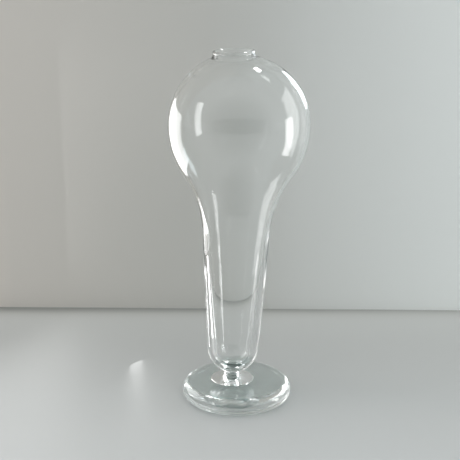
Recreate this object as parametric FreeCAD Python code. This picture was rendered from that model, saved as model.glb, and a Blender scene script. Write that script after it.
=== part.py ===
import FreeCAD
import Part
import math
import os

# A mouth-blown glass vase that stands on a thick disc foot. Millimetres, +Z up.
# The origin is on the table, straight under the middle of the bulb.

# The foot is a disc of solid glass with a round edge and a slightly domed top.
FOOT_DIAMETER = 78.4
FOOT_EDGE_THICKNESS = 12.7
FOOT_DOME_RISE = 1.6

# The neck join is the small gather of glass between the foot and the trunk.
JOIN_HEIGHT = 5.2
JOIN_WAIST_DIAMETER = 12.0
JOIN_SKIRT_REACH = 9.5
JOIN_SKIRT_HEIGHT = 2.9
JOIN_TOP_FLARE = 2.0

# The outside of the blown vessel: a round lower end, a tapered trunk, a flare and a ball.
# The lower half of the ball hangs a little long, so its section is an arc of a larger radius.
TRUNK_END_RADIUS = 18.2
TRUNK_TAPER_DEG = 3.6
TRUNK_LENGTH = 162.5
FLARE_RADIUS = 80.0
BULB_DIAMETER = 97.6
BULB_BELLY_RADIUS = 60.0

# The hollow inside it: the wall is thin at the bulb and grows heavier down the trunk.
BULB_WALL = 2.4
BASE_GLASS = 5.8
HOLLOW_END_RADIUS = 12.4
HOLLOW_TAPER_DEG = 5.6
HOLLOW_FLARE_RADIUS = 86.0

# The mouth is a short collar on the bulb with a round bead of glass on its edge.
LIP_OUTER_DIAMETER = 29.0
LIP_BEAD_DIAMETER = 2.0
LIP_SEAT_WIDTH = 1.4
COLLAR_HEIGHT = 2.4
COLLAR_FLARE = 2.4

# Hand work: the vessel leans on its foot, and foot and mouth both sit a little to one side.
VESSEL_LEAN_DEG = 1.4
MOUTH_TILT_DEG = 2.4
MOUTH_SET_OFF = 1.6
FOOT_SET_OFF = 1.3

# How far a piece is drawn into its neighbour before their shared face is cut.
OVERLAP = 0.5

# Heights and radii that follow from the sizes above.
foot_edge_radius = FOOT_EDGE_THICKNESS / 2
foot_edge_centre = FOOT_DIAMETER / 2 - foot_edge_radius
foot_top = FOOT_EDGE_THICKNESS + FOOT_DOME_RISE
trunk_bottom = foot_top + JOIN_HEIGHT
trunk_end_centre = trunk_bottom + TRUNK_END_RADIUS
bulb_radius = BULB_DIAMETER / 2
bulb_centre = trunk_end_centre + TRUNK_LENGTH
belly_offset = bulb_radius - BULB_BELLY_RADIUS
hollow_end_centre = trunk_bottom + BASE_GLASS + HOLLOW_END_RADIUS
lean = math.radians(VESSEL_LEAN_DEG)
join_offset = (bulb_centre - foot_top) * math.sin(lean)
join_from_foot = abs(join_offset - FOOT_SET_OFF)
lip_bead_radius = LIP_BEAD_DIAMETER / 2
lip_ring_radius = LIP_OUTER_DIAMETER / 2 - lip_bead_radius
mouth_radius = lip_ring_radius - LIP_SEAT_WIDTH / 2
collar_radius = lip_ring_radius + LIP_SEAT_WIDTH / 2
collar_top = math.sqrt(bulb_radius ** 2 - collar_radius ** 2) + COLLAR_HEIGHT
dome_run = foot_edge_centre ** 2 + (foot_top - foot_edge_radius) ** 2 - foot_edge_radius ** 2
dome_radius = dome_run / (2 * FOOT_DOME_RISE)


def point(radius, height):
    """A point of a half section, at this distance from the axis."""
    return FreeCAD.Vector(radius, 0, height)


def line(start, end):
    return Part.LineSegment(start, end).toShape()


def round_arc(centre, radius, first_deg, last_deg):
    """An arc of a half section, between two directions seen from its centre."""
    ends = []
    for degrees in (first_deg, (first_deg + last_deg) / 2, last_deg):
        turn = math.radians(degrees)
        ends.append(centre + point(radius * math.cos(turn), radius * math.sin(turn)))
    return Part.Arc(*ends).toShape()


def first_of(edge):
    return edge.valueAt(edge.FirstParameter)


def last_of(edge):
    return edge.valueAt(edge.LastParameter)


def turned(edges):
    """The solid that a closed half section sweeps in one turn about the axis."""
    section = Part.Face(Part.Wire(edges))
    return section.revolve(FreeCAD.Vector(0, 0, 0), FreeCAD.Vector(0, 0, 1), 360)


def leaned(shape):
    """Lean a shape of the vessel about the bulb's centre, which stays above the origin."""
    shape.rotate(point(0, bulb_centre), FreeCAD.Vector(0, 1, 0), VESSEL_LEAN_DEG)
    return shape


def at_mouth(shape):
    """Move a shape drawn from the bulb's centre onto the mouth's own tilted axis."""
    shape.translate(point(-MOUTH_SET_OFF, bulb_centre))
    shape.rotate(point(0, bulb_centre), FreeCAD.Vector(0, 1, 0), -MOUTH_TILT_DEG)
    return shape


def bubble(end_radius, end_centre, taper_deg, flare_radius, wall):
    """A round end, a tapered tube, a flare and a ball, this far inside the ball's skin."""
    ball_radius = bulb_radius - wall
    belly_radius = BULB_BELLY_RADIUS - wall
    belly_centre = point(belly_offset, bulb_centre)
    taper = math.radians(taper_deg)
    slope = math.tan(taper)
    # The flare's centre lies on a line with the tube's slope, flare_radius out from its side.
    line_start = (end_radius + flare_radius) / math.cos(taper) - slope * end_centre
    # It also lies flare_radius plus belly_radius from the belly's centre: that gives its height.
    gap = line_start - belly_offset
    square = 1 + slope ** 2
    linear = 2 * (gap * slope - bulb_centre)
    constant = gap ** 2 + bulb_centre ** 2 - (flare_radius + belly_radius) ** 2
    height = (-linear - math.sqrt(linear ** 2 - 4 * square * constant)) / (2 * square)
    flare_centre = point(line_start + slope * height, height)
    belly_to_flare = flare_centre - belly_centre
    belly_deg = math.degrees(math.atan2(belly_to_flare.z, belly_to_flare.x))

    round_end = round_arc(point(0, end_centre), end_radius, -90, -taper_deg)
    flare = round_arc(flare_centre, flare_radius, 180 - taper_deg, 180 + belly_deg)
    belly = round_arc(belly_centre, belly_radius, belly_deg, 0)
    ball = round_arc(point(0, bulb_centre), ball_radius, 0, 90)
    side = line(last_of(round_end), first_of(flare))
    axis = line(last_of(ball), first_of(round_end))
    return leaned(turned([round_end, side, flare, belly, ball, axis]))


def make_foot():
    """A disc whose dome and flat underside both run smoothly into the round edge."""
    edge_centre = point(foot_edge_centre, foot_edge_radius)
    dome_centre = point(0, foot_top - dome_radius)
    dome_deg = math.degrees(math.atan2(edge_centre.z - dome_centre.z, edge_centre.x))
    edge = round_arc(edge_centre, foot_edge_radius, -90, dome_deg)
    dome = round_arc(dome_centre, dome_radius, dome_deg, 90)
    underside = line(point(0, 0), first_of(edge))
    axis = line(last_of(dome), point(0, 0))
    disc = turned([underside, edge, dome, axis])
    disc.translate(point(-FOOT_SET_OFF, 0))
    return disc


def make_neck_join(foot, trunk):
    """A waisted plug with a skirt spread on the foot and a small flare under the trunk."""
    waist = JOIN_WAIST_DIAMETER / 2
    skirt_rim = waist + JOIN_SKIRT_REACH
    skirt_top = foot_top + JOIN_SKIRT_HEIGHT
    # The dome falls away under the skirt, most on the side that the join is set off to.
    farthest = join_from_foot + skirt_rim
    dome_there = foot_top - dome_radius + math.sqrt(dome_radius ** 2 - farthest ** 2)
    skirt_bottom = dome_there - skirt_rim * math.sin(lean) - OVERLAP
    skirt_curve = Part.Ellipse(point(skirt_rim + JOIN_SKIRT_REACH, skirt_top),
                               point(skirt_rim, 2 * skirt_top - skirt_bottom),
                               point(skirt_rim, skirt_top))
    skirt = Part.Edge(skirt_curve, math.pi, math.pi * 3 / 2)

    flare_rim = waist + JOIN_TOP_FLARE
    trunk_height = trunk_end_centre - math.sqrt(TRUNK_END_RADIUS ** 2 - flare_rim ** 2)
    flare_centre = point(flare_rim, trunk_height + OVERLAP - JOIN_TOP_FLARE)
    flare = round_arc(flare_centre, JOIN_TOP_FLARE, 90, 180)
    middle = line(last_of(flare), first_of(skirt))

    low = point(0, skirt_bottom)
    high = point(0, first_of(flare).z)
    edges = [skirt, line(last_of(skirt), low), line(low, high), line(high, first_of(flare))]
    plug = leaned(turned(edges + [flare, middle]))
    return plug.cut([foot, trunk])


def make_collar():
    """A low solid boss on top of the ball, with a hollow curve down to the ball's skin."""
    flare_rim = collar_radius + COLLAR_FLARE
    skin = math.sqrt(bulb_radius ** 2 - (flare_rim + MOUTH_SET_OFF) ** 2)
    top = point(collar_radius, collar_top)
    foot = point(flare_rim, skin - OVERLAP)
    middle = (top + foot) / 2 - point(COLLAR_FLARE / 5, COLLAR_FLARE / 5)
    flank = Part.Arc(top, middle, foot).toShape()
    root = point(flare_rim, 0)
    edges = [flank, line(foot, root), line(root, point(0, 0)),
             line(point(0, 0), point(0, collar_top)), line(point(0, collar_top), top)]
    return at_mouth(turned(edges))


def make_vessel(outside):
    """The blown bubble: its outside with the collar, less the hollow and the mouth."""
    hollow = bubble(HOLLOW_END_RADIUS, hollow_end_centre, HOLLOW_TAPER_DEG,
                    HOLLOW_FLARE_RADIUS, BULB_WALL)
    mouth = at_mouth(Part.makeCylinder(mouth_radius, 2 * bulb_radius))
    return outside.fuse(make_collar()).cut(hollow).cut(mouth)


def make_lip_bead():
    """A round rope of glass closed into a ring, flattened where it sits on the collar."""
    rise = math.sqrt(lip_bead_radius ** 2 - (LIP_SEAT_WIDTH / 2) ** 2)
    centre = point(lip_ring_radius, collar_top + rise)
    seat_deg = math.degrees(math.acos(rise / lip_bead_radius))
    rope = round_arc(centre, lip_bead_radius, -90 + seat_deg, 270 - seat_deg)
    seat = line(last_of(rope), first_of(rope))
    return at_mouth(turned([rope, seat]))


foot = make_foot()
outside = bubble(TRUNK_END_RADIUS, trunk_end_centre, TRUNK_TAPER_DEG, FLARE_RADIUS, 0)
pieces = {
    "foot": foot,
    "neck_join": make_neck_join(foot, outside),
    "blown_vessel": make_vessel(outside),
    "lip_bead": make_lip_bead(),
}

os.makedirs("parts", exist_ok=True)
for name, shape in pieces.items():
    shape.exportStep("parts/" + name + ".step")
    box = shape.BoundBox
    print(name, "solids", len(shape.Solids), "valid", shape.isValid(),
          "volume", round(shape.Volume), "from", round(box.XMin, 2), round(box.YMin, 2),
          round(box.ZMin, 2), "to", round(box.XMax, 2), round(box.YMax, 2), round(box.ZMax, 2))
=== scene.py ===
# %% [markdown]
# A mouth-blown glass vase on a disc foot. The engineering model is loaded first and never
# moved. Every piece of glass below is drawn over it at the same place and size, and only the
# surfaces get finer. Lengths are in metres, so small sizes are written in millimetres and
# multiplied by MM.

# %% Load the frame
import math

import bpy
from mathutils import Euler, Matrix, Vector


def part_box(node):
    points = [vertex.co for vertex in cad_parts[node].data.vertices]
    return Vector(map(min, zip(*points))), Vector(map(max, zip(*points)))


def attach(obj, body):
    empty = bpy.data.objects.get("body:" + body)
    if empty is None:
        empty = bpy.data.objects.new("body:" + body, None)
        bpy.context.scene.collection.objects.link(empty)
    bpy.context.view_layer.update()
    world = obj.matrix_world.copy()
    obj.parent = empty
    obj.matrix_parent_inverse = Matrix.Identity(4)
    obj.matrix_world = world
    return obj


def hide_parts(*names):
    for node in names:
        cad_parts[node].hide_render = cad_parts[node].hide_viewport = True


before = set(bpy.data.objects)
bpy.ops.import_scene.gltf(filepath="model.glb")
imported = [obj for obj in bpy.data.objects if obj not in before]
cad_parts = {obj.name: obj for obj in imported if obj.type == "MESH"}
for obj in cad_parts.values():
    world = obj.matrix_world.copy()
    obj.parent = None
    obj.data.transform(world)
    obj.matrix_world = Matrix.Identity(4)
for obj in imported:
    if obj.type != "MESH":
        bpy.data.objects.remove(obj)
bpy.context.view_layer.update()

MM = 0.001
for node_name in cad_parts:
    low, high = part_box(node_name)
    print(node_name, "from", [round(v / MM, 1) for v in low], "to", [round(v / MM, 1) for v in high])

# %% [markdown]
# The vase is drawn from a few places and sizes. Those that the frame can tell are read from
# it: the bulb is a ball as wide as the vessel's box, and the foot is the lowest box. The rest
# are the maker's own sizes, the same as in the engineering model.

# %% Read the main places from the frame
vessel_low, vessel_high = [Vector(corner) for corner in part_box("blown_vessel")]
foot_low, foot_high = [Vector(corner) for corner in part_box("foot")]

BULB_RADIUS = (vessel_high.x - vessel_low.x) / 2
FOOT_RADIUS = (foot_high.x - foot_low.x) / 2
FOOT_TOP = foot_high.z

JOIN_HEIGHT = 5.2 * MM
TRUNK_END_RADIUS = 18.2 * MM
TRUNK_TAPER = math.radians(3.6)
TRUNK_LENGTH = 162.5 * MM
FLARE_RADIUS = 80.0 * MM
BELLY_RADIUS = 60.0 * MM

TRUNK_BOTTOM = FOOT_TOP + JOIN_HEIGHT
TRUNK_END_HEIGHT = TRUNK_BOTTOM + TRUNK_END_RADIUS
BULB_CENTRE = Vector((0, 0, TRUNK_END_HEIGHT + TRUNK_LENGTH))
BELLY_OFFSET = BULB_RADIUS - BELLY_RADIUS
print("bulb radius", round(BULB_RADIUS / MM, 2), "centre height", round(BULB_CENTRE.z / MM, 2))

# %% [markdown]
# All four pieces are round, so each is drawn as half a section and spun once about its axis,
# as a lathe or a blower's bench would turn it. The section starts as one loose point. Each
# further point is pulled out of the last with extrude. A curve with a Screw modifier would do
# as well, but points give full control over how close the rings lie where glass bends light.

# %% Start a half section from one point
SPIN_STEPS = 160
SEED_SIZE = 10 * MM
MERGE_DISTANCE = 0.001 * MM


def start_section(name, radius, height):
    """A new mesh that holds one point, in edit mode, ready to be extruded."""
    bpy.ops.object.select_all(action="DESELECT")
    bpy.ops.mesh.primitive_plane_add(size=SEED_SIZE, location=(0, 0, 0))
    bpy.context.object.name = name
    bpy.ops.object.mode_set(mode="EDIT")
    bpy.ops.mesh.select_mode(type="VERT")
    bpy.ops.mesh.select_all(action="SELECT")
    bpy.ops.mesh.merge(type="CENTER")
    bpy.ops.transform.translate(value=(radius, 0, height))
    return Vector((radius, 0, height))


def pull_to(here, radius, height):
    """Extrude the last point to a new place in the section."""
    there = Vector((radius, 0, height))
    bpy.ops.mesh.extrude_region_move(TRANSFORM_OT_translate={"value": there - here})
    return there


# %% Pull along lines and arcs, and spin
def pull_straight(here, radius, height, steps):
    """Extrude in a straight line, in equal steps."""
    start = here.copy()
    for step in range(1, steps + 1):
        share = step / steps
        here = pull_to(here, start.x + (radius - start.x) * share,
                       start.z + (height - start.z) * share)
    return here


def pull_round(here, centre_radius, centre_height, radius, first, last, steps):
    """Extrude along an arc between two directions, in radians, seen from its centre."""
    for step in range(1, steps + 1):
        turn = first + (last - first) * step / steps
        here = pull_to(here, centre_radius + radius * math.cos(turn),
                       centre_height + radius * math.sin(turn))
    return here


def spin_section():
    """Turn the section into a closed skin about the Z axis, and let Blender find its outside."""
    bpy.ops.mesh.select_all(action="SELECT")
    bpy.ops.mesh.spin(steps=SPIN_STEPS, angle=math.tau, center=(0, 0, 0), axis=(0, 0, 1))
    bpy.ops.mesh.select_all(action="SELECT")
    bpy.ops.mesh.remove_doubles(threshold=MERGE_DISTANCE)
    bpy.ops.mesh.normals_make_consistent(inside=False)
    bpy.ops.object.mode_set(mode="OBJECT")
    piece = bpy.context.object
    print(piece.name, "faces", len(piece.data.polygons))
    return piece


# %% [markdown]
# The blown vessel is one bubble of glass that was drawn out into a trunk. Its outside and its
# hollow have the same kind of outline: a round end, a tapered tube, a flare and a ball. The
# flare has to meet tube and ball without a crease, or the glass would show a line there. One
# helper works out where such a flare lies, so that both outlines come from it.

# %% Where a flare meets its tube and its ball
def flare_place(end_radius, end_height, taper, flare_radius, belly_radius):
    """The centre of the flare's arc, and the direction from the belly's centre to it."""
    slope = math.tan(taper)
    line_start = (end_radius + flare_radius) / math.cos(taper) - slope * end_height
    gap = line_start - BELLY_OFFSET
    square = 1 + slope ** 2
    linear = 2 * (gap * slope - BULB_CENTRE.z)
    constant = gap ** 2 + BULB_CENTRE.z ** 2 - (flare_radius + belly_radius) ** 2
    height = (-linear - math.sqrt(linear ** 2 - 4 * square * constant)) / (2 * square)
    radius = line_start + slope * height
    return radius, height, math.atan2(height - BULB_CENTRE.z, radius - BELLY_OFFSET)


# %% [markdown]
# The outside is drawn from the bottom up. The neck is fused to the lowest part of the round
# end, so that part gets its own rings: the faces inside them are marked as fused later on.

# %% Draw the outside of the vessel
JOIN_FLARE_RIM = 7.2 * MM
SEAT_TURN = -math.acos(JOIN_FLARE_RIM / TRUNK_END_RADIUS)
SEAT_RINGS = 6
END_RINGS = 22
TUBE_RINGS = 24
FLARE_RINGS = 26
BELLY_RINGS = 26
BALL_RINGS = 40


def draw_outside(collar_turn):
    """From the axis under the trunk up to where the collar starts on the ball."""
    flare_x, flare_z, ball_turn = flare_place(
        TRUNK_END_RADIUS, TRUNK_END_HEIGHT, TRUNK_TAPER, FLARE_RADIUS, BELLY_RADIUS)
    side_top = flare_x - FLARE_RADIUS * math.cos(TRUNK_TAPER)
    side_top_z = flare_z + FLARE_RADIUS * math.sin(TRUNK_TAPER)
    here = start_section("blown_vessel_glass", 0, TRUNK_BOTTOM)
    here = pull_round(here, 0, TRUNK_END_HEIGHT, TRUNK_END_RADIUS,
                      -math.pi / 2, SEAT_TURN, SEAT_RINGS)
    here = pull_round(here, 0, TRUNK_END_HEIGHT, TRUNK_END_RADIUS,
                      SEAT_TURN, -TRUNK_TAPER, END_RINGS)
    here = pull_straight(here, side_top, side_top_z, TUBE_RINGS)
    here = pull_round(here, flare_x, flare_z, FLARE_RADIUS,
                      math.pi - TRUNK_TAPER, math.pi + ball_turn, FLARE_RINGS)
    here = pull_round(here, BELLY_OFFSET, BULB_CENTRE.z, BELLY_RADIUS, ball_turn, 0, BELLY_RINGS)
    return pull_round(here, 0, BULB_CENTRE.z, BULB_RADIUS, 0, collar_turn, BALL_RINGS)


# %% [markdown]
# The mouth is a low collar pulled up out of the ball, with a round bead of glass on its edge.
# The collar's flank is a quarter of an ellipse, lying flat on the ball and steep at the top,
# because soft glass leaves a hollow curve and no corner there.

# %% Draw the collar
LIP_OUTER_RADIUS = 14.5 * MM
LIP_BEAD_RADIUS = 1.0 * MM
LIP_SEAT_WIDTH = 1.4 * MM
COLLAR_HEIGHT = 2.4 * MM
COLLAR_FLARE = 2.4 * MM
LIP_RING_RADIUS = LIP_OUTER_RADIUS - LIP_BEAD_RADIUS
MOUTH_RADIUS = LIP_RING_RADIUS - LIP_SEAT_WIDTH / 2
COLLAR_RADIUS = LIP_RING_RADIUS + LIP_SEAT_WIDTH / 2
COLLAR_RIM = COLLAR_RADIUS + COLLAR_FLARE
COLLAR_TOP = BULB_CENTRE.z + math.sqrt(BULB_RADIUS ** 2 - COLLAR_RADIUS ** 2) + COLLAR_HEIGHT
COLLAR_RINGS = 8
LIP_SEAT_RINGS = 2


def draw_collar(here):
    """From the ball up the collar's flank, and in over the flat seat of the bead."""
    rim_z = here.z
    for step in range(1, COLLAR_RINGS + 1):
        turn = math.pi / 2 * step / COLLAR_RINGS
        here = pull_to(here, COLLAR_RIM - COLLAR_FLARE * math.sin(turn),
                       rim_z + (COLLAR_TOP - rim_z) * (1 - math.cos(turn)))
    return pull_straight(here, MOUTH_RADIUS, COLLAR_TOP, LIP_SEAT_RINGS)


# %% [markdown]
# The hollow is drawn from the top down, from the mouth to the axis above the trunk's base, so
# the section closes on itself. A Solidify modifier can't make this wall: it is thin at the
# bulb and grows heavier down the trunk, as the glass was left thick where it was drawn out.

# %% Draw the hollow and spin the vessel
BULB_WALL = 2.4 * MM
BASE_GLASS = 5.8 * MM
HOLLOW_END_RADIUS = 12.4 * MM
HOLLOW_TAPER = math.radians(5.6)
HOLLOW_FLARE_RADIUS = 86.0 * MM
HOLLOW_END_HEIGHT = TRUNK_BOTTOM + BASE_GLASS + HOLLOW_END_RADIUS
HOLLOW_BALL_RADIUS = BULB_RADIUS - BULB_WALL
HOLLOW_BELLY_RADIUS = BELLY_RADIUS - BULB_WALL
BORE_RINGS = 5
HOLLOW_END_RINGS = 20


def draw_hollow(here):
    """From the mouth down the inside of ball, flare and tube to its round end."""
    mouth_turn = math.acos(MOUTH_RADIUS / HOLLOW_BALL_RADIUS)
    bore_low = BULB_CENTRE.z + HOLLOW_BALL_RADIUS * math.sin(mouth_turn)
    flare_x, flare_z, ball_turn = flare_place(
        HOLLOW_END_RADIUS, HOLLOW_END_HEIGHT, HOLLOW_TAPER, HOLLOW_FLARE_RADIUS,
        HOLLOW_BELLY_RADIUS)
    here = pull_straight(here, MOUTH_RADIUS, bore_low, BORE_RINGS)
    here = pull_round(here, 0, BULB_CENTRE.z, HOLLOW_BALL_RADIUS, mouth_turn, 0, BALL_RINGS)
    here = pull_round(here, BELLY_OFFSET, BULB_CENTRE.z, HOLLOW_BELLY_RADIUS,
                      0, ball_turn, BELLY_RINGS)
    here = pull_round(here, flare_x, flare_z, HOLLOW_FLARE_RADIUS,
                      math.pi + ball_turn, math.pi - HOLLOW_TAPER, FLARE_RINGS)
    end_x = HOLLOW_END_RADIUS * math.cos(HOLLOW_TAPER)
    end_z = HOLLOW_END_HEIGHT - HOLLOW_END_RADIUS * math.sin(HOLLOW_TAPER)
    here = pull_straight(here, end_x, end_z, TUBE_RINGS)
    return pull_round(here, 0, HOLLOW_END_HEIGHT, HOLLOW_END_RADIUS,
                      -HOLLOW_TAPER, -math.pi / 2, HOLLOW_END_RINGS)


draw_hollow(draw_collar(draw_outside(math.acos(COLLAR_RIM / BULB_RADIUS))))
vessel = spin_section()

# %% [markdown]
# The lip bead is a thin rope of hot glass laid round the mouth's edge, where it melts to a
# round. A torus primitive would come close, but the real bead sits on the collar with a flat
# seat, so its section is drawn as most of a circle, closed by a short straight line.

# %% Draw and spin the lip bead
BEAD_RINGS = 40
BEAD_RISE = math.sqrt(LIP_BEAD_RADIUS ** 2 - (LIP_SEAT_WIDTH / 2) ** 2)
BEAD_SEAT_TURN = math.acos(BEAD_RISE / LIP_BEAD_RADIUS)

bead_start = start_section("lip_bead_glass", COLLAR_RADIUS, COLLAR_TOP)
bead_end = pull_round(bead_start, LIP_RING_RADIUS, COLLAR_TOP + BEAD_RISE, LIP_BEAD_RADIUS,
                      -math.pi / 2 + BEAD_SEAT_TURN, math.pi * 1.5 - BEAD_SEAT_TURN, BEAD_RINGS)
pull_straight(bead_end, COLLAR_RADIUS, COLLAR_TOP, LIP_SEAT_RINGS)
lip_bead = spin_section()

# %% [markdown]
# The neck join is the small gather of glass that holds trunk and foot together. It was
# squeezed to a waist while hot, and its lower end ran out over the foot as a thin skirt. Its
# height on the foot has to be known first, so the dome of the foot is worked out here. The
# skirt is again a quarter of an ellipse: flat where it runs out, and steep at the waist.
#
# A known fault: for this piece alone, Blender's guess in spin_section goes wrong and the faces
# point inwards, so its signed volume is negative. They would have to be flipped after the spin.

# %% Where the foot's dome carries the neck
SKIRT_RIM = 15.5 * MM
FOOT_EDGE_RADIUS = 6.35 * MM
FOOT_DOME_RISE = 1.6 * MM
FOOT_FLAT = FOOT_RADIUS - FOOT_EDGE_RADIUS
DOME_RUN = FOOT_FLAT ** 2 + (FOOT_TOP - FOOT_EDGE_RADIUS) ** 2 - FOOT_EDGE_RADIUS ** 2
DOME_RADIUS = DOME_RUN / (2 * FOOT_DOME_RISE)
SEAT_HEIGHT = FOOT_TOP - DOME_RADIUS + math.sqrt(DOME_RADIUS ** 2 - SKIRT_RIM ** 2)
print("the neck sits at", round(SEAT_HEIGHT / MM, 2), "mm")

# %% Draw and spin the neck join
JOIN_WAIST_RADIUS = 6.0 * MM
JOIN_SKIRT_HEIGHT = 2.9 * MM
JOIN_FLARE = JOIN_FLARE_RIM - JOIN_WAIST_RADIUS
WAIST_LOW = FOOT_TOP + JOIN_SKIRT_HEIGHT
WAIST_TOP = TRUNK_END_HEIGHT + TRUNK_END_RADIUS * math.sin(SEAT_TURN) - JOIN_FLARE
SKIRT_RINGS = 18
WAIST_RINGS = 4


def draw_neck_join():
    """Out under the skirt, up the skirt and the waist, and in under the trunk's end."""
    here = start_section("neck_join_glass", 0, SEAT_HEIGHT)
    here = pull_straight(here, SKIRT_RIM, SEAT_HEIGHT, 2)
    for step in range(1, SKIRT_RINGS + 1):
        turn = math.pi / 2 * step / SKIRT_RINGS
        here = pull_to(here, SKIRT_RIM - (SKIRT_RIM - JOIN_WAIST_RADIUS) * math.sin(turn),
                       SEAT_HEIGHT + (WAIST_LOW - SEAT_HEIGHT) * (1 - math.cos(turn)))
    here = pull_straight(here, JOIN_WAIST_RADIUS, WAIST_TOP, WAIST_RINGS)
    here = pull_round(here, JOIN_FLARE_RIM, WAIST_TOP, JOIN_FLARE, math.pi, math.pi / 2, SEAT_RINGS)
    pull_round(here, 0, TRUNK_END_HEIGHT, TRUNK_END_RADIUS, SEAT_TURN, -math.pi / 2, SEAT_RINGS)
    return spin_section()


neck_join = draw_neck_join()

# %% [markdown]
# The foot is a thick disc of solid glass, pressed flat below and left slightly domed on top,
# with a fully round edge. A bevelled cylinder would give the edge but no dome, so this is a
# spun section too. It is level under the neck, so that the two pieces meet face to face.

# %% Draw and spin the foot
UNDERSIDE_RINGS = 8
EDGE_RINGS = 36
DOME_RINGS = 20


def draw_foot():
    """Out along the underside, round the edge, and back over the dome."""
    edge_top_turn = math.atan2(FOOT_EDGE_RADIUS - FOOT_TOP + DOME_RADIUS, FOOT_FLAT)
    here = start_section("foot_glass", 0, 0)
    here = pull_straight(here, FOOT_FLAT, 0, UNDERSIDE_RINGS)
    here = pull_round(here, FOOT_FLAT, FOOT_EDGE_RADIUS, FOOT_EDGE_RADIUS,
                      -math.pi / 2, edge_top_turn, EDGE_RINGS)
    here = pull_round(here, 0, FOOT_TOP - DOME_RADIUS, DOME_RADIUS,
                      edge_top_turn, math.acos(SKIRT_RIM / DOME_RADIUS), DOME_RINGS)
    pull_straight(here, 0, SEAT_HEIGHT, 2)
    return spin_section()


foot = draw_foot()

# %% [markdown]
# The vase is hand work, so it isn't quite true. The mouth sits off the axis and a few degrees
# to one side, the whole vessel leans back over its foot, and the neck stands off the foot's
# middle. Turning whole objects would do for the lean, but every object has to stay at the
# origin unturned, so the points are moved in edit mode. They are picked in code by place.

# %% Helpers that pick points and move them
def edit_points(piece, wanted):
    """Go into edit mode with only the wanted points selected, given by their numbers."""
    bpy.ops.object.select_all(action="DESELECT")
    piece.select_set(True)
    bpy.context.view_layer.objects.active = piece
    bpy.ops.object.mode_set(mode="EDIT")
    bpy.ops.mesh.select_mode(type="VERT")
    bpy.ops.mesh.select_all(action="DESELECT")
    bpy.ops.object.mode_set(mode="OBJECT")
    for number in wanted:
        piece.data.vertices[number].select = True
    bpy.ops.object.mode_set(mode="EDIT")


def points_where(piece, test):
    return [v.index for v in piece.data.vertices if test(v.co)]


def all_points(piece):
    return points_where(piece, lambda co: True)


def slide_points(piece, wanted, along_x):
    edit_points(piece, wanted)
    bpy.ops.transform.translate(value=(along_x, 0, 0))
    bpy.ops.object.mode_set(mode="OBJECT")


def turn_points(piece, wanted, angle, centre=BULB_CENTRE):
    """Turn points about the Y axis through a centre, the top towards +X."""
    edit_points(piece, wanted)
    # With no window open, this operator turns the other way round, hence the minus.
    bpy.ops.transform.rotate(value=-angle, orient_axis="Y", center_override=centre)
    bpy.ops.object.mode_set(mode="OBJECT")


# %% [markdown]
# The mouth is first slid sideways and then turned, each in many small steps on fewer and
# fewer rings. So the change is spread over the top of the ball, and the ball under it stays a
# ball. The bead gets the whole slide and the whole turn at once.

# %% Set the mouth to one side and turn it
VESSEL_LEAN = math.radians(1.4)
MOUTH_TILT = math.radians(2.4)
MOUTH_SET_OFF = 1.6 * MM
MOUTH_TURN = -(MOUTH_TILT + VESSEL_LEAN)
SLIDE_STEPS = 8
SLIDE_FROM_DEG = 46
SLIDE_OVER_DEG = 22
TURN_STEPS = 24
TURN_FROM = math.radians(5)
TURN_TO = math.radians(62)


def vessel_points_above(latitude):
    level = BULB_CENTRE.z + BULB_RADIUS * math.sin(latitude)
    return points_where(vessel, lambda co: co.z > level)


slides = [vessel_points_above(math.radians(SLIDE_FROM_DEG + SLIDE_OVER_DEG * (step + 0.5) / SLIDE_STEPS))
          for step in range(SLIDE_STEPS)]
for wanted in slides:
    slide_points(vessel, wanted, -MOUTH_SET_OFF / SLIDE_STEPS)
slide_points(lip_bead, all_points(lip_bead), -MOUTH_SET_OFF)
turns = [vessel_points_above(TURN_FROM + (TURN_TO - TURN_FROM) * (step + 0.5) / TURN_STEPS)
         for step in range(TURN_STEPS)]
for wanted in turns:
    turn_points(vessel, wanted, MOUTH_TURN / TURN_STEPS)
turn_points(lip_bead, all_points(lip_bead), MOUTH_TURN)
print("mouth turned by", round(math.degrees(MOUTH_TURN), 1), "degrees")

# %% [markdown]
# Vessel, bead and neck then lean together about the bulb's centre. The neck's foot must stay
# level on the disc, so its rings are turned back again: fully at the skirt, and less and less
# up to the waist. The skirt's seat is pressed flat at the end, with a resize to zero height.

# %% Lean the vessel and keep the neck level
SEAT_POINTS = points_where(neck_join, lambda co: co.z < SEAT_HEIGHT + MERGE_DISTANCE)
neck_rings = {}
for vertex in neck_join.data.vertices:
    if vertex.co.z < WAIST_TOP - MERGE_DISTANCE:
        neck_rings.setdefault(round(vertex.co.z / MM, 3), []).append(vertex.index)
for piece in (vessel, lip_bead, neck_join):
    turn_points(piece, all_points(piece), VESSEL_LEAN)
for level, ring in sorted(neck_rings.items()):
    drop = BULB_CENTRE.z - level * MM
    share = max(0.0, (level * MM - SEAT_HEIGHT) / (WAIST_TOP - SEAT_HEIGHT))
    ring_centre = BULB_CENTRE + Vector((-drop * math.sin(VESSEL_LEAN), 0,
                                        -drop * math.cos(VESSEL_LEAN)))
    turn_points(neck_join, ring, -(1 - share) * VESSEL_LEAN, ring_centre)
edit_points(neck_join, SEAT_POINTS)
bpy.ops.transform.resize(value=(1, 1, 0), center_override=(0, 0, SEAT_HEIGHT))
bpy.ops.object.mode_set(mode="OBJECT")
print("neck rings turned back:", len(neck_rings))

# %% [markdown]
# The neck stands a little off the middle of the foot. The level seat on the foot has to lie
# under it, so the rings of the dome slide sideways, by a share that grows smoothly from the
# rim to the seat. Then the whole foot is set to its place.

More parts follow.
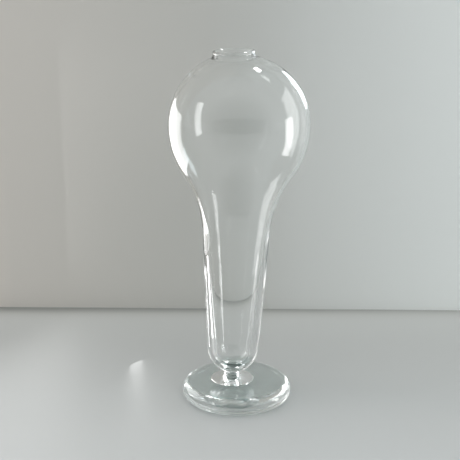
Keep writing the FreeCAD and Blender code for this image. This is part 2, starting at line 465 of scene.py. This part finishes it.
# %% Slide the foot's seat under the neck
FOOT_SET_OFF = 1.3 * MM
JOIN_OFFSET = (BULB_CENTRE.z - SEAT_HEIGHT) * math.sin(VESSEL_LEAN)
JOIN_FROM_FOOT = JOIN_OFFSET - FOOT_SET_OFF
ABOVE_EDGE = FOOT_EDGE_RADIUS * 1.5

dome_rings = {}
for vertex in foot.data.vertices:
    radius = math.hypot(vertex.co.x, vertex.co.y)
    if vertex.co.z > ABOVE_EDGE and radius < FOOT_FLAT:
        dome_rings.setdefault(round(radius / MM, 3), []).append(vertex.index)
for radius, ring in sorted(dome_rings.items()):
    share = min(1.0, max(0.0, (FOOT_FLAT / MM - radius) / (FOOT_FLAT / MM - SKIRT_RIM / MM)))
    slide_points(foot, ring, -JOIN_FROM_FOOT * share * share * (3 - 2 * share))
slide_points(foot, all_points(foot), -FOOT_SET_OFF)
print("neck stands", round(JOIN_FROM_FOOT / MM, 2), "mm off the foot's middle")

# %% [markdown]
# A few bubbles stay trapped when the foot is gathered. Each is a small hollow in the glass: a
# sphere, drawn out a little by the turning, whose faces point into it, because that is where
# the glass ends. They belong to the foot, so they are joined to its mesh.

# %% Bubbles in the foot
BUBBLES = (
    (Vector((-1.8 * MM, -13.4 * MM, 10.6 * MM)), 1.15 * MM),
    (Vector((-1.0 * MM, -25.0 * MM, 6.4 * MM)), 0.95 * MM),
    (Vector((-1.2 * MM, -15.6 * MM, 9.4 * MM)), 0.45 * MM),
)
BUBBLE_STRETCH = (0.85, 0.85, 1.15)
BUBBLE_SEGMENTS = 32
BUBBLE_RINGS = 16


def add_bubble(place, radius):
    bpy.ops.object.select_all(action="DESELECT")
    bpy.ops.mesh.primitive_uv_sphere_add(segments=BUBBLE_SEGMENTS, ring_count=BUBBLE_RINGS,
                                         radius=radius, location=(0, 0, 0))
    bpy.ops.object.mode_set(mode="EDIT")
    bpy.ops.mesh.select_all(action="SELECT")
    bpy.ops.transform.resize(value=BUBBLE_STRETCH)
    bpy.ops.transform.translate(value=place)
    bpy.ops.mesh.flip_normals()
    bpy.ops.object.mode_set(mode="OBJECT")
    return bpy.context.object


bubbles = [add_bubble(place, radius) for place, radius in BUBBLES]
bpy.ops.object.select_all(action="DESELECT")
for bubble in bubbles:
    bubble.select_set(True)
foot.select_set(True)
bpy.context.view_layer.objects.active = foot
bpy.ops.object.join()
print("bubbles joined to", foot.name, len(BUBBLES))

# %% [markdown]
# Blown glass is never quite even: the trunk shows fine upright streaks from its drawing out,
# and the bulb and the foot show soft waves. They could be modelled, but they are far finer
# than the mesh, so each is a shallow bump from noise on Object coordinates. A small scale
# along Z stretches the noise to streaks. Two bumps are chained to have both on one piece.

# %% Waves in the glass
def new_material(name):
    material = bpy.data.materials.new(name)
    material.use_nodes = True
    return material, material.node_tree.nodes, material.node_tree.links


def object_noise(nodes, links, scale, detail):
    """Noise on Object coordinates with its own scale along each axis."""
    place = nodes.new("ShaderNodeTexCoord")
    mapping = nodes.new("ShaderNodeMapping")
    mapping.inputs["Scale"].default_value = scale
    noise = nodes.new("ShaderNodeTexNoise")
    noise.inputs["Scale"].default_value = 1.0
    noise.inputs["Detail"].default_value = detail
    links.new(place.outputs["Object"], mapping.inputs["Vector"])
    links.new(mapping.outputs["Vector"], noise.inputs["Vector"])
    return noise


def wavy_bump(nodes, links, scale, stretch, depth, below):
    """A shallow bump from noise; below is an earlier bump to add it to, or None."""
    noise = object_noise(nodes, links, (scale, scale, scale * stretch), 1.0)
    bump = nodes.new("ShaderNodeBump")
    bump.inputs["Strength"].default_value = 1.0
    bump.inputs["Distance"].default_value = depth
    links.new(noise.outputs["Fac"], bump.inputs["Height"])
    if below:
        links.new(below.outputs["Normal"], bump.inputs["Normal"])
    return bump


# %% [markdown]
# Clear glass is the Principled shader with full transmission and no roughness. The light that
# casts the shadow would need many samples to find its way through it. So for shadow rays alone
# the glass is swapped for a Transparent shader with a little tint, and the table under the
# vase stays light, with a soft shadow, as on the real one.

# %% Clear glass with waves
GLASS_IOR = 1.51


def blown_glass(name, tint, shadow, waves):
    """Clear glass; each wave gives noise per metre, its stretch along Z, and its depth."""
    material, nodes, links = new_material(name)
    glass = nodes["Principled BSDF"]
    glass.inputs["Base Color"].default_value = (*tint, 1)
    glass.inputs["Roughness"].default_value = 0.0
    glass.inputs["IOR"].default_value = GLASS_IOR
    glass.inputs["Transmission Weight"].default_value = 1.0
    bump = None
    for scale, stretch, depth in waves:
        bump = wavy_bump(nodes, links, scale, stretch, depth, bump)
    links.new(bump.outputs["Normal"], glass.inputs["Normal"])
    path = nodes.new("ShaderNodeLightPath")
    clear = nodes.new("ShaderNodeBsdfTransparent")
    clear.inputs["Color"].default_value = (*shadow, 1)
    mix = nodes.new("ShaderNodeMixShader")
    links.new(path.outputs["Is Shadow Ray"], mix.inputs["Fac"])
    links.new(glass.outputs["BSDF"], mix.inputs[1])
    links.new(clear.outputs["BSDF"], mix.inputs[2])
    links.new(mix.outputs["Shader"], nodes["Material Output"].inputs["Surface"])
    print(name, "with", len(waves), "sets of waves")
    return material


# %% [markdown]
# The trunk's glass is nearly colourless. The foot and the neck are thick, and there the same
# glass shows a faint green, so they get a stronger tint and deeper waves.

# %% The three kinds of glass
STREAKS = (450.0, 0.03, 0.006 * MM)
SOFT_WAVES = (45.0, 1.0, 0.05 * MM)
FOOT_WAVES = (120.0, 1.0, 0.10 * MM)
FOOT_TINT = (0.95, 0.982, 0.972)
FOOT_SHADOW = (0.80, 0.84, 0.83)
CLEAR_GLASS = blown_glass("clear_glass", (0.985, 0.992, 0.99), (0.88, 0.90, 0.90),
                          (STREAKS, SOFT_WAVES))
FOOT_GLASS = blown_glass("foot_glass", FOOT_TINT, FOOT_SHADOW, (SOFT_WAVES, FOOT_WAVES))
NECK_GLASS = blown_glass("neck_glass", FOOT_TINT, FOOT_SHADOW, (SOFT_WAVES, FOOT_WAVES))

# %% [markdown]
# Low on the real neck the thick, curved glass turns the view round to a dark side of the room,
# and level bands of deep green-grey show there. That room isn't modelled, so the bands are a
# painted reflection in the neck's base colour instead: noise squeezed along Z gives level marks,
# and height is added to it, so that they gather near the foot and the top stays clear.

# %% Painted reflection: dark bands low in the neck
NECK_BAND_SCALE = (150.0, 150.0, 900.0)
# The dark tone is a painted reflection of the room's dark side.
PAINTED_REFLECTION_GREEN = (0.05, 0.09, 0.085)
NECK_CLEAR = (0.90, 0.96, 0.945)
NOISE_SHARE = 0.8
HEIGHT_SHARE = 0.5
DARK_BELOW = 0.46
CLEAR_ABOVE = 0.66


# Paints the reflection of the dark room into the neck's base colour, as level bands.
def add_painted_reflection_bands(material):
    nodes, links = material.node_tree.nodes, material.node_tree.links
    noise = object_noise(nodes, links, NECK_BAND_SCALE, 2.0)
    place = nodes.new("ShaderNodeTexCoord")
    split = nodes.new("ShaderNodeSeparateXYZ")
    height = nodes.new("ShaderNodeMapRange")
    height.inputs["From Min"].default_value = SEAT_HEIGHT
    height.inputs["From Max"].default_value = TRUNK_BOTTOM
    height.inputs["To Max"].default_value = HEIGHT_SHARE
    amount = nodes.new("ShaderNodeMath")
    amount.operation = "MULTIPLY_ADD"
    amount.inputs[1].default_value = NOISE_SHARE
    bands = nodes.new("ShaderNodeValToRGB")
    dark, clear = bands.color_ramp.elements
    dark.position, dark.color = DARK_BELOW, (*PAINTED_REFLECTION_GREEN, 1)
    clear.position, clear.color = CLEAR_ABOVE, (*NECK_CLEAR, 1)
    links.new(place.outputs["Object"], split.inputs["Vector"])
    links.new(split.outputs["Z"], height.inputs["Value"])
    links.new(noise.outputs["Fac"], amount.inputs[0])
    links.new(height.outputs["Result"], amount.inputs[2])
    links.new(amount.outputs["Value"], bands.inputs["Fac"])
    links.new(bands.outputs["Color"], nodes["Principled BSDF"].inputs["Base Color"])


add_painted_reflection_bands(NECK_GLASS)

# %% [markdown]
# Where two pieces are melted together there is no surface at all, and light goes straight on.
# The meshes still close there, because each piece is a solid of its own. So the faces that
# touch get a second material, a clear Transparent shader that doesn't bend or reflect light.

# %% A material for fused faces
def fused_face():
    material, nodes, links = new_material("fused_joint")
    clear = nodes.new("ShaderNodeBsdfTransparent")
    clear.inputs["Color"].default_value = (1, 1, 1, 1)
    links.new(clear.outputs["BSDF"], nodes["Material Output"].inputs["Surface"])
    nodes.remove(nodes["Principled BSDF"])
    return material


FUSED = fused_face()
for piece, glass in ((vessel, CLEAR_GLASS), (lip_bead, CLEAR_GLASS),
                     (neck_join, NECK_GLASS), (foot, FOOT_GLASS)):
    piece.data.materials.append(glass)
    piece.data.materials.append(FUSED)
    print(piece.name, "is made of", glass.name)


# %% Helpers that find and fuse faces
def fuse_faces(piece, test):
    """Give the faces that pass the test the fused material, and a sharp edge round them."""
    bpy.ops.object.select_all(action="DESELECT")
    piece.select_set(True)
    bpy.context.view_layer.objects.active = piece
    bpy.ops.object.mode_set(mode="EDIT")
    bpy.ops.mesh.select_mode(type="FACE")
    bpy.ops.mesh.select_all(action="DESELECT")
    bpy.ops.object.mode_set(mode="OBJECT")
    count = 0
    for face in piece.data.polygons:
        face.select = test(face)
        count += face.select
    bpy.ops.object.mode_set(mode="EDIT")
    piece.active_material_index = 1
    bpy.ops.object.material_slot_assign()
    bpy.ops.mesh.region_to_loop()
    bpy.ops.mesh.mark_sharp()
    bpy.ops.object.mode_set(mode="OBJECT")
    print(piece.name, "fused faces", count)


MOUTH_AXIS = Vector((-math.sin(MOUTH_TILT), 0, math.cos(MOUTH_TILT)))
VESSEL_AXIS = Vector((math.sin(VESSEL_LEAN), 0, math.cos(VESSEL_LEAN)))


def along_mouth(point):
    """How high a point lies along the mouth's own axis."""
    return (point - BULB_CENTRE).dot(MOUTH_AXIS) + BULB_CENTRE.z


def off_vessel_axis(point):
    arm = point - BULB_CENTRE
    return (arm - arm.dot(VESSEL_AXIS) * VESSEL_AXIS).length


# %% [markdown]
# There are three such places: the bead on its collar, the trunk on the neck, and the neck on
# the foot. Each is found by its height and its distance from the axis, once on both pieces.
# The tests on the neck also ask which way a face points. As its faces point inwards, they find
# none under the skirt and only a third of those at the top, and the printed counts show it.

# %% Fuse the three joints
TOUCH = 0.02 * MM
TRUNK_SEAT_TOP = TRUNK_BOTTOM + 2.5 * MM
NECK_SEAT_LOW = TRUNK_BOTTOM - 0.1 * MM
INSIDE_SKIRT = SKIRT_RIM * 0.999


def on_foot_seat(face):
    return (abs(face.center.z - SEAT_HEIGHT) < TOUCH
            and math.hypot(face.center.x + JOIN_OFFSET, face.center.y) < INSIDE_SKIRT)


fuse_faces(vessel, lambda face: abs(along_mouth(face.center) - COLLAR_TOP) < TOUCH
           and abs(face.normal.dot(MOUTH_AXIS)) > 0.9)
fuse_faces(lip_bead, lambda face: abs(along_mouth(face.center) - COLLAR_TOP) < TOUCH
           and abs(face.normal.dot(MOUTH_AXIS)) > 0.99)
fuse_faces(vessel, lambda face: off_vessel_axis(face.center) < JOIN_FLARE_RIM
           and face.center.z < TRUNK_SEAT_TOP)
fuse_faces(neck_join, lambda face: off_vessel_axis(face.center) < JOIN_FLARE_RIM
           and face.normal.z > 0.9 and face.center.z > NECK_SEAT_LOW)
fuse_faces(neck_join, lambda face: face.normal.z < -0.99 and face.center.z < SEAT_HEIGHT + TOUCH)
fuse_faces(foot, on_foot_seat)

# %% [markdown]
# Each piece is now hung on the one rigid body, and the node of the engineering model that it
# stands for is hidden. Smooth shading hides the facets, and only the fused rims marked sharp
# above stay creases.

# %% Give the pieces to the frame
for piece in (vessel, lip_bead, neck_join, foot):
    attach(piece, "root")
    bpy.ops.object.select_all(action="DESELECT")
    piece.select_set(True)
    bpy.context.view_layer.objects.active = piece
    bpy.ops.object.shade_smooth()
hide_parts("blown_vessel")
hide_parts("lip_bead")
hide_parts("neck_join")
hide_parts("foot")

# %% [markdown]
# The stage is a pale table in front of a pale wall. Clear glass shows what
# lies behind it, so their tones matter as much as the glass does. Each is a colour ramp along
# one Object coordinate, with light and shade painted into it: painted light takes the wall from
# a warm grey on the left to a cool, lighter one on the right, and the table is lighter towards
# the front and darkens with painted shade in the corner under the wall. The wall has paint on
# its front only, so that lamps and views from behind it see through.

# %% Paint with painted light and shade that change along one axis
def stage_material(name, roughness, axis, start, end, tones, one_sided=False):
    """Paint whose colour runs through the given tones, painted light and shade among them, along one
    axis, from start to end.
    """
    material, nodes, links = new_material(name)
    shader = nodes["Principled BSDF"]
    shader.inputs["Roughness"].default_value = roughness
    place = nodes.new("ShaderNodeTexCoord")
    split = nodes.new("ShaderNodeSeparateXYZ")
    along = nodes.new("ShaderNodeMapRange")
    along.inputs["From Min"].default_value = start
    along.inputs["From Max"].default_value = end
    paint = nodes.new("ShaderNodeValToRGB")
    paint.color_ramp.interpolation = "B_SPLINE"
    stops = paint.color_ramp.elements
    while len(stops) < len(tones):
        stops.new(0.5)
    for stop, (place_mm, colour) in zip(stops, tones):
        stop.position = (place_mm * MM - start) / (end - start)
        stop.color = (*colour, 1)
    links.new(place.outputs["Object"], split.inputs["Vector"])
    links.new(split.outputs[axis], along.inputs["Value"])
    links.new(along.outputs["Result"], paint.inputs["Fac"])
    links.new(paint.outputs["Color"], shader.inputs["Base Color"])
    if one_sided:
        side = nodes.new("ShaderNodeNewGeometry")
        clear = nodes.new("ShaderNodeBsdfTransparent")
        mix = nodes.new("ShaderNodeMixShader")
        links.new(side.outputs["Backfacing"], mix.inputs["Fac"])
        links.new(shader.outputs["BSDF"], mix.inputs[1])
        links.new(clear.outputs["BSDF"], mix.inputs[2])
        links.new(mix.outputs["Shader"], nodes["Material Output"].inputs["Surface"])
    return material


# %% Tones of table and wall, with painted light and shade
# Each tone stands at its place in millimetres: along Y on the table, along X on the wall.
# The table's tones hold painted light and shade: lighter towards the front, and the last, dark
# tone is painted shade in the corner under the wall.
TABLE_TONES_WITH_PAINTED_SHADING = (
    (-220, (0.519, 0.534, 0.536)),
    (0, (0.450, 0.462, 0.458)),
    (100, (0.433, 0.441, 0.433)),
    (150, (0.479, 0.490, 0.479)),
    (168, (0.445, 0.450, 0.433)),
    (180, (0.182, 0.188, 0.177)),
)
# Painted light: the wall is darker in the middle, and lighter and cooler towards the right.
WALL_TONES_WITH_PAINTED_LIGHT = (
    (-200, (0.700, 0.661, 0.616)),
    (-30, (0.560, 0.560, 0.532)),
    (60, (0.650, 0.666, 0.650)),
    (200, (0.896, 0.930, 0.918)),
)
TABLE_SPAN = (-0.22, 0.20)
WALL_SPAN = (-0.22, 0.22)
print("table tones", len(TABLE_TONES_WITH_PAINTED_SHADING), "wall tones", len(WALL_TONES_WITH_PAINTED_LIGHT))

# %% Table
TABLE_SIZE = 8
TABLE_DROP = 0.2 * MM
TABLE_ROUGHNESS = 0.5

bpy.ops.mesh.primitive_plane_add(size=TABLE_SIZE, location=(0, 0, -TABLE_DROP))
table = bpy.context.object
table.name = "table"
table.data.materials.append(stage_material(
    "table_paint_with_painted_shading", TABLE_ROUGHNESS, "Y", *TABLE_SPAN, TABLE_TONES_WITH_PAINTED_SHADING))
print("table lies", TABLE_DROP / MM, "mm under the foot, so that no two faces coincide")

# %% Wall
WALL_DISTANCE = 180 * MM
WALL_SIZE = 3
WALL_TURN = math.radians(-1.2)
WALL_ROUGHNESS = 0.8

bpy.ops.mesh.primitive_plane_add(size=WALL_SIZE, location=(0, WALL_DISTANCE, WALL_SIZE / 2),
                                 rotation=(math.pi / 2, 0, WALL_TURN))
wall = bpy.context.object
wall.name = "wall"
wall.data.materials.append(stage_material(
    "wall_paint_with_painted_light", WALL_ROUGHNESS, "X", *WALL_SPAN, WALL_TONES_WITH_PAINTED_LIGHT, one_sided=True))
print("wall stands", round(WALL_DISTANCE / MM), "mm behind the vase")

# %% [markdown]
# Glass is seen by what it mirrors. The bright shapes on the real vase are windows, so each is
# an area lamp that stands where its reflection asks for it, and it lights no paint. Three wide
# lamps do the opposite: they light the table and wall softly, and the glass doesn't mirror
# them. A lamp's brightness is given as radiance, which stays the same when its size changes.

# %% A helper for lamps
def lamp(name, place, aim, width, height, radiance, diffuse=True, mirrored=True,
         colour=(1, 1, 1), spread_deg=180):
    """A rectangular lamp that looks from its place towards aim."""
    data = bpy.data.lights.new(name, "AREA")
    data.shape = "RECTANGLE"
    data.size = width
    data.size_y = height
    data.energy = radiance * math.pi * width * height
    data.color = colour
    data.spread = math.radians(spread_deg)
    light = bpy.data.objects.new(name, data)
    bpy.context.collection.objects.link(light)
    light.location = place
    light.rotation_euler = (Vector(aim) - Vector(place)).to_track_quat("-Z", "Y").to_euler()
    light.visible_camera = False
    light.visible_diffuse = diffuse
    light.visible_glossy = mirrored
    light.visible_transmission = mirrored
    print(name, "radiance", radiance)
    return light


# %% [markdown]
# The cards on the left draw the bright crescent on the bulb and the strip down the trunk, and
# those on the right the band inside the bulb and the thin lines of the trunk. The low ones
# stand close, because the trunk is seen from above and mirrors what lies near the table. The
# lowest right one has a narrow spread, so that the flare above it doesn't mirror it too.

# %% Cards that the glass mirrors
lamp("card_left", (-0.197, 0.116, 0.134), (-0.03, 0, 0.134), 0.180, 0.200, 2.6, diffuse=False)
lamp("card_left_low", (-0.080, 0.061, 0.035), (0, 0, 0.035), 0.014, 0.07, 4.0, diffuse=False)
lamp("card_right", (0.304, -0.044, 0.1375), (0.035, -0.02, 0.1375), 0.078, 0.225, 4.5,
     diffuse=False)
lamp("card_right_low", (0.1174, -0.0249, 0.033), (0, 0, 0.033), 0.022, 0.066, 1.5,
     diffuse=False, spread_deg=64)
lamp("card_right_high", (0.125, 0.160, 0.250), (0.045, 0, 0.215), 0.06, 0.09, 2.5,
     diffuse=False, colour=(0.85, 0.95, 1.0))
lamp("spark", (0.105, 0.134, 0.505), (0.010, 0, 0.245), 0.04, 0.03, 60.0, diffuse=False)

# %% Lamps that light the stage
lamp("key", (-2.2, 0.3, 1.5), (0, 0, 0.1), 1.6, 1.6, 3.2, mirrored=False)
lamp("front_fill", (0.7, -1.8, 1.3), (0, 0, 0.1), 1.5, 1.5, 1.6, mirrored=False)
lamp("top_fill", (0, -0.3, 2.2), (0, 0, 0), 2.2, 2.2, 1.2, mirrored=False)

# %% [markdown]
# The world is the rest of the room as the glass mirrors it: pale all round, and dark behind
# the camera. A smooth blend along Y joins the two, so that the round glass shows soft depth
# and no edge.

# %% World
ROOM_DARK = (0.03, 0.05, 0.05)
ROOM_PALE = (0.78, 0.80, 0.80)
ROOM_DARK_UNTIL = -1.0
ROOM_PALE_FROM = -0.35

world = bpy.data.worlds.new("room")
bpy.context.scene.world = world
world.use_nodes = True
nodes = world.node_tree.nodes
links = world.node_tree.links
background = nodes["Background"]
background.inputs["Strength"].default_value = 1.0
direction = nodes.new("ShaderNodeTexCoord")
toward = nodes.new("ShaderNodeSeparateXYZ")
front = nodes.new("ShaderNodeMapRange")
front.interpolation_type = "SMOOTHSTEP"
front.inputs["From Min"].default_value = ROOM_DARK_UNTIL
front.inputs["From Max"].default_value = ROOM_PALE_FROM
room = nodes.new("ShaderNodeMix")
room.data_type = "RGBA"
room.inputs["A"].default_value = (*ROOM_DARK, 1)
room.inputs["B"].default_value = (*ROOM_PALE, 1)
links.new(direction.outputs["Generated"], toward.inputs["Vector"])
links.new(toward.outputs["Y"], front.inputs["Value"])
links.new(front.outputs["Result"], room.inputs["Factor"])
links.new(room.outputs["Result"], background.inputs["Color"])
print("world goes from", ROOM_DARK, "to", ROOM_PALE)

# %% [markdown]
# The camera looks down a little at the vase from about 0.7 m away. Its focal length was worked
# out in pixels, from the outline and the ellipse of the foot, and is turned into millimetres
# for a sensor as wide as the picture.

# %% Camera
EYE = Vector((-6.2 * MM, -712 * MM, 334.2 * MM))
PITCH = math.radians(16.3)
FOCAL_PIXELS = 1060
FRAME_PIXELS = 460
SENSOR_WIDTH = 36

camera_data = bpy.data.cameras.new("camera")
camera_data.sensor_width = SENSOR_WIDTH
camera_data.lens = FOCAL_PIXELS / FRAME_PIXELS * SENSOR_WIDTH
camera = bpy.data.objects.new("camera", camera_data)
bpy.context.collection.objects.link(camera)
camera.location = EYE
camera.rotation_euler = Euler((math.pi / 2 - PITCH, 0, 0))
print("lens", round(camera_data.lens, 1), "mm")

# %% [markdown]
# A ray through clear glass crosses many surfaces, and one that runs along a thick wall is
# mirrored inside it many times. With the usual few bounces such places turn black, so the
# limits are raised for every kind of ray that glass makes.

# %% Render settings for glass
LIGHT_BOUNCES = 64

scene = bpy.context.scene
scene.camera = camera
scene.view_settings.view_transform = "Standard"
scene.cycles.max_bounces = LIGHT_BOUNCES
scene.cycles.glossy_bounces = LIGHT_BOUNCES
scene.cycles.transmission_bounces = LIGHT_BOUNCES
scene.cycles.transparent_max_bounces = LIGHT_BOUNCES
scene.cycles.use_denoising = True
